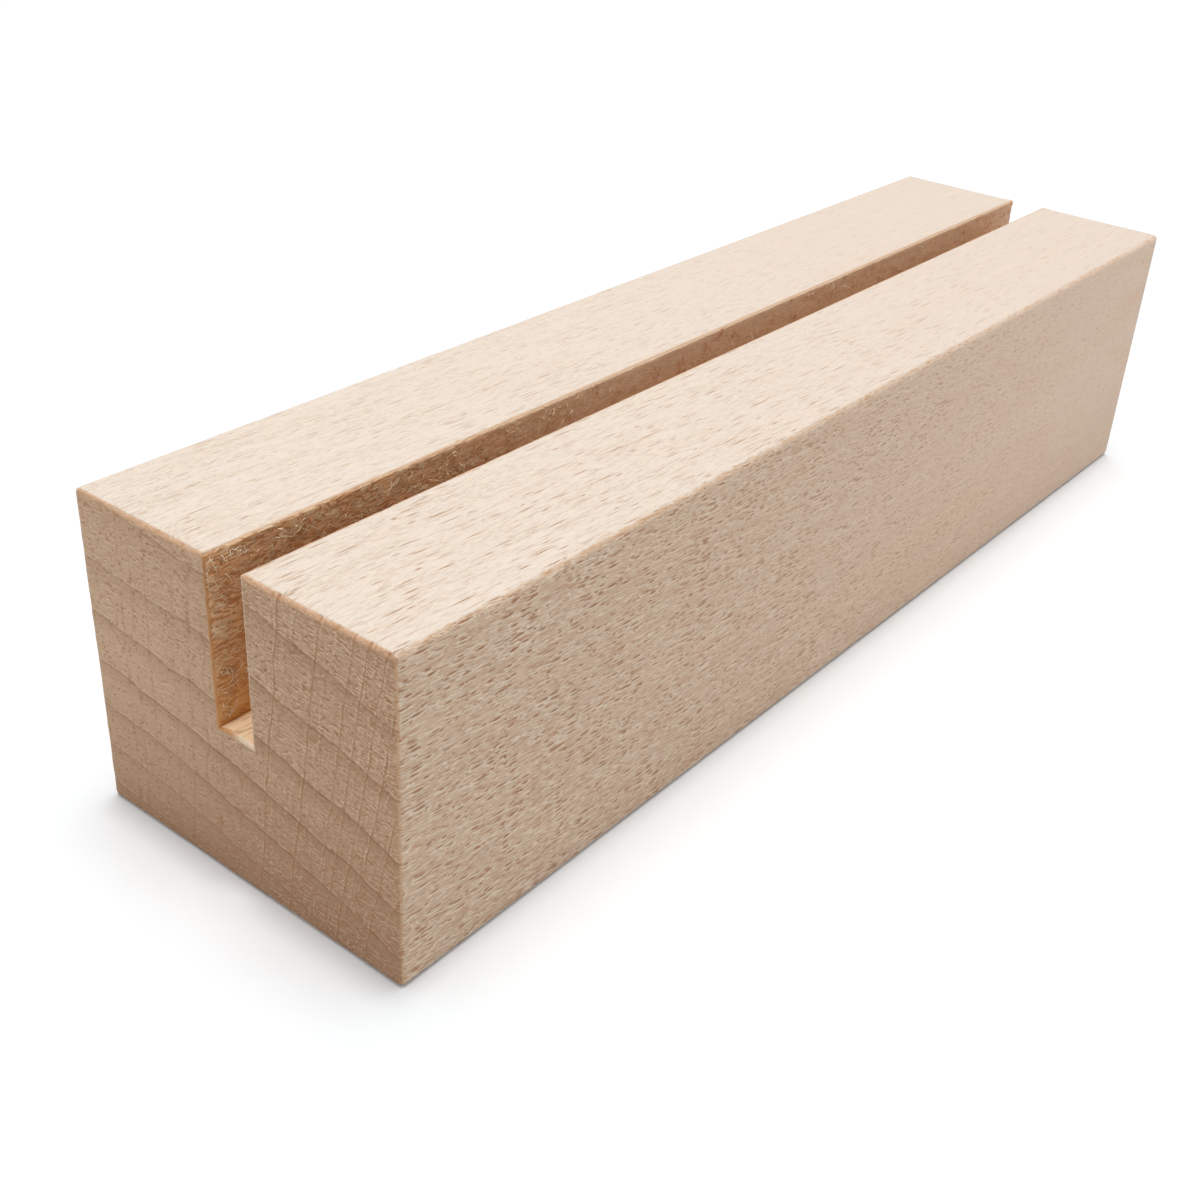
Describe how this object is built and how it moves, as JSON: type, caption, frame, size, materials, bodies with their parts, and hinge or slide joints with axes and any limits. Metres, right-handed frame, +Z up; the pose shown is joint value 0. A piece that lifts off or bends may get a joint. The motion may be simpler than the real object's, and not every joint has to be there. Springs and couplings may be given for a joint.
{
  "type": "photo block holder",
  "caption": "Rectangular wooden block with a straight groove sawn along its top, open at both ends, in which the lower edge of a print or card stands.",
  "frame": {"origin": "middle of the face the block rests on", "axes": "+X along the block, its grain and its groove; +Y across the block; +Z up, out of the groove's open top"},
  "size_m": [0.15, 0.04, 0.034],
  "materials": {
    "beech": "bare planed and lightly sanded beech, pale straw with a pinkish cast, end grain darker, groove walls browner and rough"
  },
  "bodies": {
    "root": {"grooved_block": "beech"}
  },
  "joints": []
}
